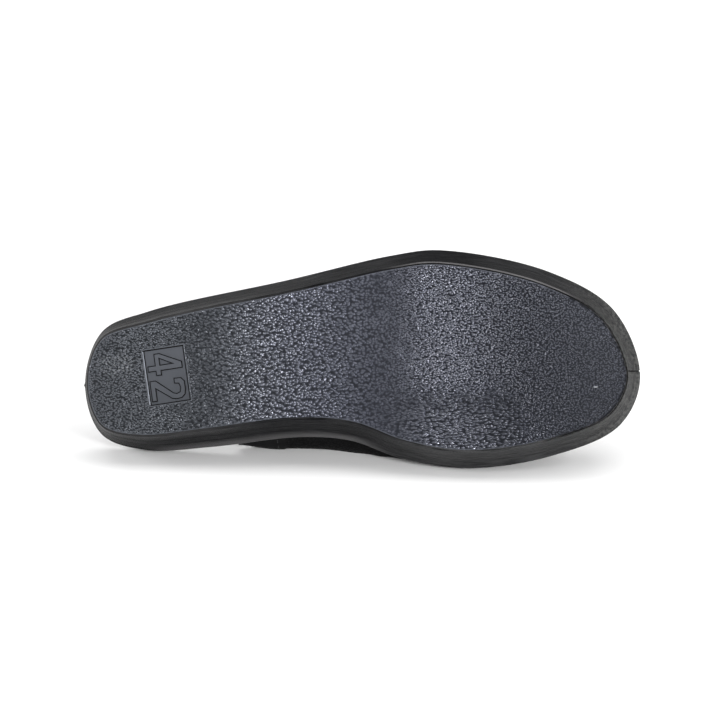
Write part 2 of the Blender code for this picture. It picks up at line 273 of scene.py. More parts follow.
# Grain of the tread: coarse pebbles under the waist, drawn ones along the inner ball, fine ones elsewhere
GRAIN_DEPTH = 0.1
GRAIN_BUMP = 0.56
GRAIN_MIDDLE = 0.5
FINE_SHARE = 0.64
COARSE_SHARE = 0.78
PEBBLE_SPREAD = 1.4
PEBBLE_ROUND = 1.25
WARPS = ((3.0, 2.0), (1.0, 0.35))
WRINKLE_SIZE = 1.2
WRINKLE_SHARE = 0.15
SWELL_LEAST = 0.8
Pebble = namedtuple("Pebble", "size squeeze")
FINE = Pebble(1.15, (1.0, 1.25, 1.0))
COARSE = Pebble(1.5, (1.0, 1.1, 1.0))
DRAWN = Pebble(1.5, (0.72, 1.55, 1.0))
COARSE_STARTS = (40.0, 85.0)
COARSE_FADES = (140.0, 175.0)
INNER_BALL_STARTS = (-5.0, 22.0)
INNER_BALL_FADES = (215.0, 240.0)

# Looks of the tread: its colour painted pale on its pebbles' tops and dark in the creases, as painted
# highlight and shade, and duller and rougher in the creases
PEBBLE_TOP = (0.9, 0.0)
PAINTED_SHADE_HEIGHTS = (1.05, 0.3)
DARK_TREAD = (0.031, 0.033, 0.037)
LIGHT_TREAD = (0.070, 0.074, 0.084)
# Near-black painted shade in the tread's creases
PAINTED_CREASE_SHADE = (0.006, 0.0064, 0.0072)
CREASE_ROUGHER = 0.15
CREASE_SHINE = 0.3
CREASE_POLISH = 0.05
POLISH_ROUGHNESS = 0.16
CLOUD_SIZE = 22.0
CLOUDING = 0.3
# The tread's colour is painted lighter towards its outer side, a painted light from above
OUTER_PAINTED_LIGHT_SPAN = (15.0, -45.0)
OUTER_PAINTED_LIGHT = 0.7
HEEL_TINT = (0.80, 0.87, 1.0)
BALL_TINT = (0.70, 0.74, 1.0)
TINT_TURNS = (50.0, 120.0)
# Least strength of the painted shade beside the toe groove
GROOVE_SHADE_LEAST = 0.4
TREAD_PORE = 0.35
TREAD_PORE_SHARE = 0.06

# Marks of use on the tread, ellipses in plan
Mark = namedtuple("Mark", "x y along across strength")
SCUFF = Mark(20.0, -11.0, 12.0, 7.0, 0.45)
NICK = Mark(262.2, 4.2, 1.6, 0.45, 0.8)
MARK_CORE = 0.4
MARK_GREY = (0.28, 0.29, 0.30)

# Looks of the wall: streaks along it, dust at the toe and lighter lines that are painted highlight
WALL_DARK = (0.003, 0.0031, 0.0036)
WALL_LIGHT = (0.012, 0.0122, 0.0135)
WALL_ROUGHNESS = (0.38, 0.52)
WALL_BUMP = 0.1
WALL_PORE = 0.5
WALL_PORE_SHARE = 0.5
STREAK_DRAWN = 0.05
STREAK_SHINE = (0.6, 1.4)
DUST_STARTS = (235.0, 278.0)
DUST_GREY = (0.055, 0.055, 0.053)
DUST_ROUGHER = 0.2
BEAD_HIGHLIGHT_GREY = (0.075, 0.073, 0.075)
BEAD_SHINE = 0.4

# Looks of the vamp's leather and of the thread
LEATHER_WARP = (2.0, 1.2)
LEATHER_PEBBLE = 1.3
LEATHER_CREASE = 0.3
LEATHER_BUMP = 0.14
LEATHER_DARK = (0.0015, 0.0015, 0.0017)
LEATHER_LIGHT = (0.0045, 0.0045, 0.005)
LEATHER_ROUGHNESS = (0.52, 0.34)
LEATHER_TURNS = (38.0, 54.0)
LEATHER_SHINE = (0.1, 0.7)
THREAD_DARK = (0.004, 0.004, 0.0045)
THREAD_LIGHT = (0.012, 0.012, 0.013)
THREAD_ROUGHNESS = 0.6
THREAD_BUMP = 0.06

# Textiles: colours of their yarns and width of a thread
Textile = namedtuple("Textile", "name dark light thread")
FOOTBED_TEXTILE = Textile("footbed_textile", (0.03, 0.03, 0.032), (0.062, 0.062, 0.066), 0.9)
LINING_TEXTILE = Textile("vamp_lining", (0.02, 0.02, 0.021), (0.045, 0.045, 0.048), 0.7)
WEAVE_DEPTH = 0.18
FLECK_THREADS = 1.5
TEXTILE_ROUGHNESS = (0.95, 0.85)
TEXTILE_SHEEN = 0.25
SHEEN_ROUGHNESS = 0.5

# Plain finishes: size of their clouds, colours and roughnesses at both ends, shine, and size and depth of
# pores, 0 for none; the edge finish is a near-black painted shade for the digits' sides, the sunk field's
# edges and the parting cut
Finish = namedtuple("Finish", "name size dark light smooth rough shine pore depth")
EDGE_SHADE_FINISH = Finish("sole_edge", 1.5, (0.002, 0.0021, 0.0024), (0.006, 0.0063, 0.007),
                     0.55, 0.7, 0.1, 0.0, 0.0)
BINDING_FINISH = Finish("vamp_binding", 9.0, (0.002, 0.002, 0.0023), (0.005, 0.005, 0.0055),
                        0.42, 0.54, 0.15, 0.6, 0.03)
FLOOR_FINISH = Finish("studio_floor", 60.0, (0.89,) * 3, (0.91,) * 3, 0.9, 0.9, 0.1, 0.0, 0.0)
CLOUD_RANGE = (0.3, 0.7)

# Patterns of noise: size of a feature, detail, roughness, and the values that count as none and as full
Pattern = namedtuple("Pattern", "size detail roughness low high")
SWELL = Pattern(4.5, 2.0, 0.5, 0.25, 0.75)
RAGGED = Pattern(2.2, 3.0, 0.5, 0.35, 0.55)
SPECKLE = Pattern(1.1, 3.0, 0.6, 0.5, 0.66)
STREAK = Pattern(0.8, 3.0, 0.6, 0.3, 0.7)
MOTTLE = Pattern(1.6, 4.0, 0.6, 0.35, 0.7)
TWIST = Pattern(0.5, 2.0, 0.5, 0.3, 0.7)
FLECK = Pattern(1.0, 3.0, 0.5, 0.35, 0.75)
NOISE_MIDDLE = 0.5
ROUGH_DETAIL = 3.0

# How the sole changes from heel to toe: the tread's tone, lightest on the ball as painted sheen and darkest
# at the toes as painted shade; how dark its creases are, a painted shade; its roughness, shine and polish
# from wear; and the wall's shine on the outer and the inner side
WearAndPaintedLight = namedtuple("WearAndPaintedLight", "place x tone crease roughness shine polish outer_wall inner_wall")
WEAR_AND_PAINTED_LIGHT = (
    WearAndPaintedLight("heel", 20.0, 0.60, 1.00, 0.34, 0.85, 0.34, 0.14, 0.11),
    WearAndPaintedLight("number", 50.0, 0.48, 1.00, 0.31, 0.90, 0.44, 0.17, 0.08),
    WearAndPaintedLight("waist back", 95.0, 0.44, 0.94, 0.28, 1.00, 0.76, 0.17, 0.08),
    WearAndPaintedLight("waist front", 146.0, 0.36, 0.90, 0.38, 0.85, 0.18, 0.10, 0.16),
    WearAndPaintedLight("ball", 185.0, 0.92, 1.00, 0.25, 1.00, 1.00, 0.02, 0.45),
    WearAndPaintedLight("toes", 228.0, 0.0, 0.98, 0.34, 0.45, 0.36, 0.10, 0.40),
    WearAndPaintedLight("toe tip", 262.0, 0.12, 0.85, 0.46, 0.32, 0.14, 0.18, 0.28),
)

# Soft creases of the vamp where it bends: place on the crest, how far the ends run back, width and depth
Crease = namedtuple("Crease", "place x bow width depth reach")
CREASES = (
    Crease("behind the joint", 183.0, 0.0042, 4.0, 0.90, 36.0),
    Crease("at the joint", 197.0, 0.0050, 4.4, 1.30, 44.0),
    Crease("before the toes", 211.0, 0.0054, 4.0, 1.00, 36.0),
)
CREASE_MIDDLE = -8.0
CREASE_CORE = 0.4
CREASE_RIDGE = 0.45
RIDGE_AWAY = 1.7

# Least wall of the upper where the floor presses it
PRESSED_WALL = 0.8

# Stitch row along the binding
STITCH_LENGTH = 2.6
STITCH_PITCH = 3.6
STITCH_RADIUS = 0.32
STITCH_SHARE = BINDING_SHARE - 0.012
STITCH_STEP = 0.004
STITCH_AHEAD = 0.1
STITCH_RISE = 1.2
STITCH_DIP = 0.8
STITCH_THIN = 0.45
STITCH_SIDES = 6
STITCH_RINGS = 5

# Camera at the photo's viewing angle, aimed at the middle of the tread; its distance is in metres
CAMERA_AZIMUTH = math.radians(3.68)
CAMERA_ELEVATION = math.radians(22.45)
CAMERA_DISTANCE = 1.291
CAMERA_LENS = 127.0
CAMERA_AIM = Vector((143.3, -11.9, 12.0))

# Side of the floor in metres, and its faces along a side
FLOOR_SIZE = 8.0
FLOOR_FACES = 8

# Soft lights round the shoe: azimuth and elevation in degrees, distance and size in metres, power in watts
Softbox = namedtuple("Softbox", "name azimuth elevation distance wide high power")
SOFTBOXES = (
    Softbox("top", 180.0, 76.0, 2.4, 4.0, 2.4, 42.0),
    Softbox("right", 40.0, 17.0, 1.3, 0.3, 0.3, 16.0),
    Softbox("left", -50.0, 25.0, 1.5, 0.9, 0.9, 6.5),
    Softbox("back", 170.0, 42.0, 2.3, 4.8, 0.9, 26.0),
    Softbox("far_right", 93.0, 25.0, 2.0, 0.9, 0.9, 18.0),
    Softbox("far_left", -95.0, 22.0, 2.0, 0.9, 0.9, 17.0),
)
WORLD_STRENGTH = 0.17
WHITE = (1.0, 1.0, 1.0, 1.0)


def monotone(knots, values):
    """A smooth curve through the points that never overshoots and keeps level stretches level."""
    knots = np.asarray(knots, float)
    values = np.asarray(values, float)
    steps = np.diff(knots)
    slopes = np.diff(values) / steps
    tangents = np.zeros_like(values)
    tangents[0] = slopes[0]
    tangents[-1] = slopes[-1]
    for i in range(1, len(knots) - 1):
        if slopes[i - 1] * slopes[i] > 0.0:
            tangents[i] = 2.0 * slopes[i - 1] * slopes[i] / (slopes[i - 1] + slopes[i])

    def curve(at):
        at = np.clip(at, knots[0], knots[-1])
        i = np.clip(np.searchsorted(knots, at, side="right") - 1, 0, len(steps) - 1)
        t = (at - knots[i]) / steps[i]
        start = (values[i] * (1 + 2 * t) + tangents[i] * steps[i] * t) * (1 - t) ** 2
        end = (values[i + 1] * (3 - 2 * t) + tangents[i + 1] * steps[i] * (t - 1)) * t * t
        return start + end

    return curve


def column(table, name, against):
    """A table's column as a smooth curve against another of its columns."""
    return monotone([getattr(row, against) for row in table], [getattr(row, name) for row in table])


def fade(value, limits):
    """0 below the first limit, 1 above the second, and smooth between them."""
    t = np.clip((value - limits[0]) / (limits[1] - limits[0]), 0.0, 1.0)
    return t * t * (3 - 2 * t)


def between(a, b, low, high, t):
    share = (t - low) / (high - low)
    return a * (1 - share) + b * share


def closed_spline(points):
    """A dense centripetal spline through a closed row of plan points."""
    count = len(points)
    dense = []
    for i in range(count):
        near = [points[(i + k) % count] for k in (-1, 0, 1, 2)]
        knots = [0.0]
        for a, b in zip(near, near[1:]):
            knots.append(knots[-1] + math.sqrt(np.linalg.norm(b - a)))
        for t in np.linspace(knots[1], knots[2], SPLINE_STEPS, endpoint=False):
            first = [between(near[k], near[k + 1], knots[k], knots[k + 1], t) for k in range(3)]
            second = [between(first[k], first[k + 1], knots[k], knots[k + 2], t) for k in range(2)]
            dense.append(between(second[0], second[1], knots[1], knots[2], t))
    return np.array(dense)


class RimSide:
    """One side of the rim, read by the share of its length from the heel (0) to the toe tip (1)."""

    def __init__(self, points, inward):
        lengths = np.linalg.norm(np.diff(points, axis=0), axis=1)
        self.points = points
        self.normals = inward
        self.length = lengths.sum()
        self.shares = np.concatenate([[0.0], np.cumsum(lengths)]) / self.length

    def read(self, rows, share):
        return np.array([np.interp(share, self.shares, line) for line in rows.T]).T

    def at(self, share):
        return self.read(self.points, share)

    def inward(self, share):
        return self.read(self.normals, share)

    def share_at(self, x):
        return np.interp(x, self.points[:, 0], self.shares)


def rim_sides():
    """The outer and the inner side of the rim."""
    dense = closed_spline([np.array((row.along * LENGTH, row.across * BALL_WIDTH)) for row in OUTLINE])
    tangent = np.roll(dense, -1, axis=0) - np.roll(dense, 1, axis=0)
    tangent /= np.linalg.norm(tangent, axis=1)[:, None]
    inward = np.column_stack([-tangent[:, 1], tangent[:, 0]])
    tip = TOE_TIP * SPLINE_STEPS
    back = np.r_[0, len(dense) - 1:tip - 1:-1]
    return RimSide(dense[:tip + 1], inward[:tip + 1]), RimSide(dense[back], inward[back])


OUTER, INNER = rim_sides()
tread_height = column(LEVELS, "tread", "x")
rim_height = column(LEVELS, "rim", "x")


def cup_height(x):
    return rim_height(x) - CUP_DEPTH


def ring_shares():
    """Stations along one side, crowded at both ends and again beside the marks of the mould."""
    even = np.linspace(0.0, 1.0, STATIONS + 1)
    crowded = (1 - np.cos(math.pi * even)) / 2
    shares = even * (1 - STATION_CROWDING) + crowded * STATION_CROWDING
    marks = np.array(MARK_STATIONS)
    parting = 1 - (PARTING_FROM_TIP + marks) / OUTER.length
    nib = marks[marks > 0] / OUTER.length
    at_parting = np.abs(shares - parting.mean()) < marks[-1] / OUTER.length
    at_nib = (shares > 0) & (shares < nib[-1])
    return np.sort(np.concatenate([shares[~(at_parting | at_nib)], parting, nib]))


SHARES = ring_shares()
RETURNING = SHARES[-2:0:-1]
RIM = np.vstack([OUTER.at(SHARES), INNER.at(RETURNING)])
INWARD = np.vstack([OUTER.inward(SHARES), INNER.inward(RETURNING)])
FLARING = np.concatenate([column(FLARES, "outer", "share")(SHARES),
                          column(FLARES, "inner", "share")(RETURNING)])
FROM_HEEL = np.concatenate([SHARES * OUTER.length, RETURNING * INNER.length])
FROM_TIP = np.concatenate([(1 - SHARES) * OUTER.length, (RETURNING - 1) * INNER.length])


def ring(inset, height):
    """Points of one level ring, inset from the rim, at a height that follows x."""
    amount = inset(RIM[:, 0]) if callable(inset) else inset
    plan = RIM + INWARD * np.reshape(amount, (-1, 1))
    return np.column_stack([plan, height(plan[:, 0])])


def shortened(step, reach):
    """The step cut to a reach, or to just under half its length."""
    length = np.linalg.norm(step, axis=-1, keepdims=True)
    return step * np.minimum(reach / length, SHORT_OF_HALF)


def rounded(rows, reach, steps):
    """Rows of points with each bend between them turned into a short curve."""
    smooth = [rows[0]]
    for before, corner, after in zip(rows, rows[1:], rows[2:]):
        start = corner + shortened(before - corner, reach)
        end = corner + shortened(after - corner, reach)
        for t in np.linspace(0.0, 1.0, steps):
            smooth.append(start * (1 - t) ** 2 + corner * (2 * t * (1 - t)) + end * t ** 2)
    smooth.append(rows[-1])
    return smooth


def add_rows(mesh, rows):
    """Vertices for closed rows of points, with a strip of faces between each row and the next."""
    made = [[mesh.verts.new(Vector(point) * MM) for point in points] for points in rows]
    for low, high in zip(made, made[1:]):
        for i in range(len(low)):
            mesh.faces.new((low[i - 1], low[i], high[i], high[i - 1]))
    return made


def search_tree(points):
    """A tree that finds the nearest of some points."""
    tree = KDTree(len(points))
    for i, point in enumerate(points):
        tree.insert(point, i)
    tree.balance()
    return tree


def even_fill(mesh, loop, cell, height):
    """Fill a closed loop with an even grid, and with triangles between the grid and the loop."""
    edge = np.array([vertex.co[:] for vertex in loop]) / MM
    tip = len(SHARES) - 1
    outer = edge[:tip + 1]
    inner = np.vstack([edge[tip:], edge[:1]])[::-1]
    tree = search_tree([(x, y, 0.0) for x, y, _ in edge])
    xs = np.arange(edge[:, 0].min() + cell / 2, edge[:, 0].max(), cell)
    ys = np.arange(edge[:, 1].min() + cell / 2, edge[:, 1].max(), cell)
    low = np.interp(xs, outer[:, 0], outer[:, 1])
    high = np.interp(xs, inner[:, 0], inner[:, 1])
    clear = cell * FILL_CLEARANCE
    inside = (ys[None, :] > low[:, None] + clear) & (ys[None, :] < high[:, None] - clear)
    for i, k in np.argwhere(inside):
        inside[i, k] = tree.find((xs[i], ys[k], 0.0))[2] > clear
    whole = inside[:-1, :-1] & inside[1:, :-1] & inside[:-1, 1:] & inside[1:, 1:]
    grid = {}

    def corner(i, k):
        if (i, k) not in grid:
            grid[i, k] = mesh.verts.new(Vector((xs[i], ys[k], height(xs[i], ys[k]))) * MM)
        return grid[i, k]

    filled = [mesh.faces.new((corner(i, k), corner(i + 1, k), corner(i + 1, k + 1), corner(i, k + 1)))
              for i, k in np.argwhere(whole)]
    ragged = {edge for face in filled for edge in face.edges if len(edge.link_faces) == 1}
    around = [mesh.edges.get((a, b)) or mesh.edges.new((a, b)) for a, b in zip(loop, loop[1:] + loop[:1])]
    belt = bmesh.ops.triangle_fill(mesh, use_beauty=True, edges=list(ragged) + around, normal=(0, 0, 1))
    return filled + [item for item in belt["geom"] if isinstance(item, bmesh.types.BMFace)]


def add_object(name, data):
    """An object in the scene."""
    made = bpy.data.objects.new(name, data)
    bpy.context.scene.collection.objects.link(made)
    return made


def finished_mesh(name, mesh, materials):
    """A mesh with its materials, from one that was being edited."""
    data = bpy.data.meshes.new(name)
    mesh.to_mesh(data)
    mesh.free()
    for material in materials:
        data.materials.append(material)
    return data


def add_piece(name, mesh, materials):
    """A piece of the upright shoe."""
    bmesh.ops.recalc_face_normals(mesh, faces=mesh.faces)
    data = finished_mesh(name, mesh, materials)
    data.shade_smooth()
    data.set_sharp_from_angle(angle=SMOOTH_ANGLE)
    return add_object(name, data)


def lay_down(piece, node=None):
    """Lay a finished piece down with the shoe, pressed flat where it meets the floor."""
    piece.data.transform(LAID)
    for vertex in piece.data.vertices:
        vertex.co.z = max(vertex.co.z, 0.0)
    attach(piece, "root")
    if node:
        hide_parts(node)


def shown_mesh(thing):
    """The mesh that a curve or a piece with modifiers shows."""
    bpy.context.view_layer.update()
    return bpy.data.meshes.new_from_object(thing.evaluated_get(bpy.context.evaluated_depsgraph_get()))


def keep_shape(piece):
    """Make what the piece's modifiers give its own mesh."""
    data = shown_mesh(piece)
    piece.modifiers.clear()
    piece.data = data


def laid_matrix():
    """The turn from the upright shoe to the lying one, from the two flats that it would stand on."""
    mounts = {mount["name"]: mount for mount in frame["record"]["mounts"]}
    heel = Vector(mounts["heel_tread"]["pos_m"])
    ball = Vector(mounts["ball_tread"]["pos_m"])

    def basis(along, up):
        along = along.normalized()
        return Matrix((along, up.cross(along).normalized(), up)).transposed()

    drawn = basis(BALL_SPOT - HEEL_SPOT, Vector((0.0, 0.0, 1.0)))
    lying = basis(ball - heel, -Vector(mounts["heel_tread"]["axis"]).normalized())
    turn = (lying @ drawn.transposed()).to_4x4()
    return Matrix.Translation(heel - turn @ (HEEL_SPOT * MM)) @ turn


LAID = laid_matrix()


# Materials

def is_socket(value):
    return isinstance(value, bpy.types.NodeSocket)


def connect(made, inputs):
    """Set or link a node's inputs."""
    for key, value in inputs.items():
        if is_socket(value):
            made.id_data.links.new(value, made.inputs[key])
        else:
            made.inputs[key].default_value = value


def source(tree, kind, **settings):
    """Add a node to a tree and set its properties."""
    made = tree.nodes.new(kind)
    for name, value in settings.items():
        setattr(made, name, value)
    return made


def node(kind, inputs, **settings):
    """Add a node to the tree of its inputs, set its properties, and set or link its inputs."""
    tree = next(value.id_data for value in inputs.values() if is_socket(value))
    made = source(tree, kind, **settings)
    connect(made, inputs)
    return made


def calc(operation, first, second=0.0):
    return node("ShaderNodeMath", {0: first, 1: second}, operation=operation).outputs[0]


def times(first, second):
    return calc("MULTIPLY", first, second)


def vector(operation, first, second):
    return node("ShaderNodeVectorMath", {0: first, 1: second}, operation=operation).outputs[0]


def stored(spot, name):
    """A value that the vertices round a place carry."""
    return source(spot.id_data, "ShaderNodeAttribute", attribute_name=name).outputs["Fac"]


def ramp(value, low, high, start=0.0, end=1.0):
    """A smooth step of a value, from start at low to end at high."""
    sizes = {"Value": value, "From Min": low, "From Max": high, "To Min": start, "To Max": end}
    return node("ShaderNodeMapRange", sizes, interpolation_type="SMOOTHSTEP").outputs["Result"]


def blend(share, first, second):
    """A number between two others."""
    return node("ShaderNodeMix", {0: share, 2: first, 3: second}, data_type="FLOAT").outputs[0]


def tint(share, first, second):
    """A colour between two others."""
    ends = [colour if is_socket(colour) else (*colour, 1.0) for colour in (first, second)]
    return node("ShaderNodeMix", {0: share, 6: ends[0], 7: ends[1]}, data_type="RGBA").outputs[2]


def noise(spot, size, detail=2.0, roughness=0.5, output="Fac"):
    """Noise with features of a size in mm."""
    inputs = {"Vector": spot, "Scale": 1.0 / size, "Detail": detail, "Roughness": roughness}
    return node("ShaderNodeTexNoise", inputs).outputs[output]


def pattern(spot, kind, start=0.0, end=1.0):
    """One of the patterns of noise, from start where there is none of it to end where it is full."""
    value = noise(spot, kind.size, kind.detail, kind.roughness)
    return ramp(value, kind.low, kind.high, start, end)


def domes(spot, pebble):
    """Rounded pebbles: 1 on their tops and 0 in the creases between them."""
    inputs = {"Vector": vector("MULTIPLY", spot, pebble.squeeze), "Scale": 1.0 / pebble.size}
    away = node("ShaderNodeTexVoronoi", inputs, voronoi_dimensions="2D").outputs["Distance"]
    sunk = calc("POWER", times(away, PEBBLE_SPREAD), PEBBLE_ROUND)
    return calc("MAXIMUM", calc("SUBTRACT", 1.0, sunk), 0.0)


def bent(spot, size, amount):
    """A place pushed about by noise."""
    wobble = noise(spot, size, output="Color")
    centred = vector("SUBTRACT", wobble, (NOISE_MIDDLE,) * 3)
    return vector("ADD", spot, vector("MULTIPLY", centred, (amount,) * 3))


def place_on_shoe(spot):
    parts = node("ShaderNodeSeparateXYZ", {0: spot}).outputs
    return [parts[axis] for axis in "XYZ"]


def wear_and_painted_light(x, name):
    """One of the columns of wear and painted light along the shoe."""
    made = node("ShaderNodeValToRGB", {"Fac": calc("DIVIDE", x, LENGTH)})
    made.color_ramp.interpolation = "EASE"
    elements = made.color_ramp.elements
    while len(elements) < len(WEAR_AND_PAINTED_LIGHT):
        elements.new(0.5)
    for element, row in zip(elements, WEAR_AND_PAINTED_LIGHT):
        element.position = row.x / LENGTH
        element.color = (*(getattr(row, name),) * 3, 1.0)
    return made.outputs["Color"]


def grain_height(spot):
    """The tread's leather-like grain: 0 in its creases to 1 on its pebbles, and where it is coarse."""
    x, y, _ = place_on_shoe(spot)
    loose = spot
    for size, amount in WARPS:
        loose = bent(loose, size, amount)
    waist = times(ramp(x, *COARSE_STARTS), ramp(x, *COARSE_FADES, 1.0, 0.0))
    front = times(ramp(x, *COARSE_FADES), ramp(x, *INNER_BALL_FADES, 1.0, 0.0))
    ball = times(ramp(y, *INNER_BALL_STARTS), front)
    plain = blend(waist, domes(loose, FINE), domes(loose, COARSE))
    pebbles = blend(ball, plain, domes(loose, DRAWN))
    grain = blend(WRINKLE_SHARE, pebbles, noise(loose, WRINKLE_SIZE))
    height = times(grain, pattern(spot, SWELL, SWELL_LEAST, 1.0))
    return height, calc("MAXIMUM", waist, ball)


def new_material(name):
    """A node material, its shader, and the place on the upright shoe in mm."""
    material = bpy.data.materials.new(name)
    material.use_nodes = True
    tree = material.node_tree
    lying = source(tree, "ShaderNodeTexCoord").outputs["Object"]
    upright = LAID.inverted()
    turned = {"Vector": lying, "Location": upright.translation / MM, "Rotation": upright.to_euler("XYZ"),
              "Scale": (1.0 / MM,) * 3}
    spot = node("ShaderNodeMapping", turned).outputs["Vector"]
    return material, tree.nodes["Principled BSDF"], spot


def bump(shader, height, depth):
    """Bump from a height of 0 to 1 that stands for a depth in mm."""
    normal = node("ShaderNodeBump", {"Height": height, "Distance": depth * MM}).outputs["Normal"]
    connect(shader, {"Normal": normal})
    return normal


def marked(spot, mark):
    """A mark's strength inside its ellipse, fading to 0 at its edge."""
    offset = vector("SUBTRACT", spot, (mark.x, mark.y, 0.0))
    flat = vector("MULTIPLY", offset, (1 / mark.along, 1 / mark.across, 0.0))
    away = node("ShaderNodeVectorMath", {0: flat}, operation="LENGTH").outputs["Value"]
    return times(ramp(away, 1.0, MARK_CORE), mark.strength)


def tread_material():
    """Moulded grain, polished on its pebbles, with scuffs on the heel and a nick at the toe; its colour
    also carries painted highlight on the pebbles' tops, painted shade in the creases and beside the toe
    groove, painted light towards the outer side, and painted sheen and shade along the shoe.
    """
    material, shader, spot = new_material("sole_tread")
    x, y, _ = place_on_shoe(spot)
    mask = stored(spot, "grain")
    height, coarse = grain_height(spot)
    pressed = times(height, blend(coarse, FINE_SHARE, COARSE_SHARE))
    relief = blend(mask, GRAIN_MIDDLE, pressed)
    pores = times(noise(spot, TREAD_PORE, ROUGH_DETAIL), TREAD_PORE_SHARE)
    normal = bump(shader, calc("ADD", relief, pores), GRAIN_BUMP)
    cloudy = calc("SUBTRACT", noise(spot, CLOUD_SIZE, ROUGH_DETAIL), NOISE_MIDDLE)
    # Painted light: lighter towards the outer side, added to the clouds of random tone
    outer = ramp(y, *OUTER_PAINTED_LIGHT_SPAN, 0.0, OUTER_PAINTED_LIGHT)
    clouds_and_painted_light = calc("ADD", outer, times(cloudy, CLOUDING))
    # The tread's tone along the shoe: lightest on the ball as painted sheen, darkest at the toes as painted
    # shade
    base = tint(calc("ADD", wear_and_painted_light(x, "tone"), clouds_and_painted_light), DARK_TREAD, LIGHT_TREAD)
    creases = times(mask, wear_and_painted_light(x, "crease"))
    # Painted shade of the toe groove, ragged, on the tread beside it
    brim = times(stored(spot, "brim"), pattern(spot, RAGGED, GROOVE_SHADE_LEAST, 1.0))
    deep = calc("MAXIMUM", times(ramp(height, *PEBBLE_TOP), creases), brim)
    # Painted shade and highlight: the colour darkens from the pebbles' tops into the creases
    dark = calc("MAXIMUM", times(ramp(height, *PAINTED_SHADE_HEIGHTS), creases), brim)
    scuff = times(marked(spot, SCUFF), pattern(spot, SPECKLE))
    light = calc("MAXIMUM", scuff, marked(spot, NICK))
    shine = ramp(deep, 0.0, 1.0, 1.0, CREASE_SHINE)
    polish = ramp(deep, 0.0, 1.0, 1.0, CREASE_POLISH)
    connect(shader, {
        "Base Color": tint(light, tint(dark, base, PAINTED_CREASE_SHADE), MARK_GREY),
        "Roughness": calc("ADD", wear_and_painted_light(x, "roughness"), times(deep, CREASE_ROUGHER)),
        "Specular IOR Level": times(wear_and_painted_light(x, "shine"), shine),
        "Specular Tint": tint(ramp(x, *TINT_TURNS), HEEL_TINT, BALL_TINT),
        "Coat Weight": times(wear_and_painted_light(x, "polish"), polish),
        "Coat Roughness": POLISH_ROUGHNESS,
        "Coat Normal": normal,
    })
    return material


def wall_material():
    """Smooth satin wall with fine lines along it, dusty at the toe and painted lighter on its beads as a
    painted highlight.
    """
    material, shader, spot = new_material("sole_wall")
    x, y, _ = place_on_shoe(spot)
    drawn = {"X": times(x, STREAK_DRAWN), "Y": stored(spot, "level")}
    streak = pattern(node("ShaderNodeCombineXYZ", drawn).outputs[0], STREAK)
    dust = times(ramp(x, *DUST_STARTS), pattern(spot, MOTTLE))
    # Painted highlight: the wall's lighter rows take a light grey and more shine
    bead = stored(spot, "bead")
    dusty = tint(dust, tint(streak, WALL_DARK, WALL_LIGHT), DUST_GREY)
    rough = ramp(streak, 0.0, 1.0, *WALL_ROUGHNESS)
    inner = ramp(y, *WALL_TURNS)
    plain = blend(inner, wear_and_painted_light(x, "outer_wall"), wear_and_painted_light(x, "inner_wall"))
    streaked = times(plain, ramp(streak, 0.0, 1.0, *STREAK_SHINE))
    connect(shader, {
        "Base Color": tint(bead, dusty, BEAD_HIGHLIGHT_GREY),
        "Roughness": calc("ADD", rough, times(dust, DUST_ROUGHER)),
        "Specular IOR Level": calc("ADD", streaked, times(bead, BEAD_SHINE)),
    })
    pores = times(noise(spot, WALL_PORE, ROUGH_DETAIL), WALL_PORE_SHARE)
    bump(shader, calc("ADD", streak, pores), WALL_BUMP)
    return material


def plain_material(finish):
    """A finish that varies a little between two colours and between two roughnesses."""
    material, shader, spot = new_material(finish.name)
    cloudy = noise(spot, finish.size, ROUGH_DETAIL)
    connect(shader, {
        "Base Color": tint(cloudy, finish.dark, finish.light),
        "Roughness": finish.smooth,
        "Specular IOR Level": finish.shine,
    })
    if finish.rough > finish.smooth:
        connect(shader, {"Roughness": ramp(cloudy, *CLOUD_RANGE, finish.smooth, finish.rough)})
    if finish.pore:
        bump(shader, noise(spot, finish.pore, ROUGH_DETAIL), finish.depth)
    return material


def leather_material():
    """Grained leather, dull along its foot and polished towards the crest."""
    material, shader, spot = new_material("vamp_leather")
    _, _, up = place_on_shoe(spot)
    inputs = {"Vector": bent(spot, *LEATHER_WARP), "Scale": 1.0 / LEATHER_PEBBLE}
    pebbles = node("ShaderNodeTexVoronoi", inputs, feature="DISTANCE_TO_EDGE").outputs["Distance"]
    height = ramp(pebbles, 0.0, LEATHER_CREASE)
    bump(shader, height, LEATHER_BUMP)
    connect(shader, {
        "Base Color": tint(height, LEATHER_DARK, LEATHER_LIGHT),
        "Roughness": ramp(height, 0.0, 1.0, *LEATHER_ROUGHNESS),
        "Specular IOR Level": ramp(up, *LEATHER_TURNS, *LEATHER_SHINE),
    })
    return material


def textile_material(cloth):
    """Plain weave: threads over and under, with flecks of lighter yarn."""
    material, shader, spot = new_material(cloth.name)
    across = [times(axis, math.pi / cloth.thread) for axis in place_on_shoe(spot)[:2]]
    warp, weft = [calc("SINE", turn) for turn in across]
    bump(shader, ramp(times(warp, weft), -1.0, 1.0), WEAVE_DEPTH)
    fleck = pattern(spot, FLECK._replace(size=cloth.thread * FLECK_THREADS))
    connect(shader, {
        "Base Color": tint(fleck, cloth.dark, cloth.light),
        "Roughness": ramp(fleck, 0.0, 1.0, *TEXTILE_ROUGHNESS),
        "Sheen Weight": TEXTILE_SHEEN,
        "Sheen Roughness": SHEEN_ROUGHNESS,
    })
    return material


def thread_material():
    """Dark twisted thread."""
    material, shader, spot = new_material("stitch_thread")
    twist = pattern(spot, TWIST)
    bump(shader, twist, THREAD_BUMP)
    connect(shader, {
        "Base Color": tint(twist, THREAD_DARK, THREAD_LIGHT),
        "Roughness": THREAD_ROUGHNESS,
    })
    return material


# Outsole

